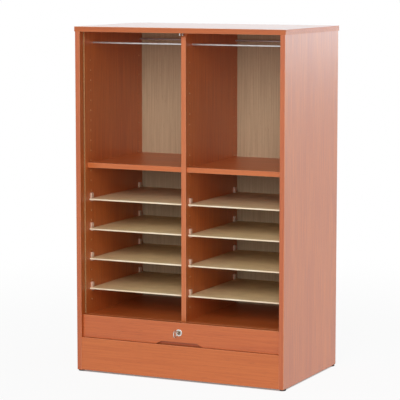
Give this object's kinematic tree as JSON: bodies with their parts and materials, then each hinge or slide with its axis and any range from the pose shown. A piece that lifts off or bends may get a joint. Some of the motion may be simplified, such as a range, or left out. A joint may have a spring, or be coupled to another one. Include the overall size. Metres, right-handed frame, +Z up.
{
  "type": "tambour door filing cabinet",
  "caption": "Office cabinet with a roll-up slatted front on an edge rail with lock, a centre divider, hanging-file rods above and clip-held shelves below.",
  "frame": {"origin": "on the floor under the middle of the overall box, key included", "axes": "+Z up, +Y towards the back panel, +X towards the right side as seen from the front"},
  "size_m": [0.72, 0.4654, 1.1],
  "materials": {
    "cherry_board": "satin melamine with fine cherry grain",
    "back_board": "matt hardboard",
    "thin_shelf": "matt, with a pale front edge",
    "clip_plastic": "satin",
    "rod_chrome": "polished",
    "slat_plastic": "satin",
    "glide_plastic": "matt",
    "dowel_wood": "raw",
    "plain_steel": "zinc plated",
    "lock_chrome": "polished",
    "key_metal": "nickel plated"
  },
  "bodies": {
    "cabinet": {"left_side": "cherry_board", "right_side": "cherry_board", "top_panel": "cherry_board", "bottom_panel": "cherry_board", "centre_divider": "cherry_board", "plinth_board": "cherry_board", "left_fixed_shelf": "cherry_board", "right_fixed_shelf": "cherry_board", "back_panel": "back_board", "left_shelf_1": "thin_shelf", "left_shelf_2": "thin_shelf", "left_shelf_3": "thin_shelf", "left_shelf_4": "thin_shelf", "right_shelf_1": "thin_shelf", "right_shelf_2": "thin_shelf", "right_shelf_3": "thin_shelf", "right_shelf_4": "thin_shelf", "left_shelf_clips": "clip_plastic", "right_shelf_clips": "clip_plastic", "left_front_rod": "rod_chrome", "left_rear_rod": "rod_chrome", "right_front_rod": "rod_chrome", "right_rear_rod": "rod_chrome", "foot_glides": "glide_plastic", "joint_dowels": "dowel_wood", "back_screws": "plain_steel", "strike_staple": "rod_chrome", "stored_slats_1": "slat_plastic", "stored_slats_2": "slat_plastic", "stored_slats_3": "slat_plastic", "stored_slats_4": "slat_plastic", "stored_slats_5": "slat_plastic"},
    "tambour": {"lead_rail": "cherry_board", "lead_slat": "slat_plastic", "lock_barrel": "lock_chrome", "lock_cover": "plain_steel", "cover_screws": "plain_steel"},
    "lock": {"lock_plug": "lock_chrome", "hook_bolt": "plain_steel", "hook_screw": "plain_steel", "door_key": "key_metal"}
  },
  "joints": [
    {"name": "tambour_slide", "type": "slide", "parent": "cabinet", "child": "tambour", "axis": [0, 0, 1], "range_m": [0, 0.9], "deforming": ["stored_slats_1", "stored_slats_2", "stored_slats_3", "stored_slats_4", "stored_slats_5"]},
    {"name": "lock_turn", "type": "hinge", "parent": "tambour", "child": "lock", "pos_m": [0, -0.18325, 0.1515], "axis": [0, 1, 0], "range_deg": [0, 90]}
  ]
}
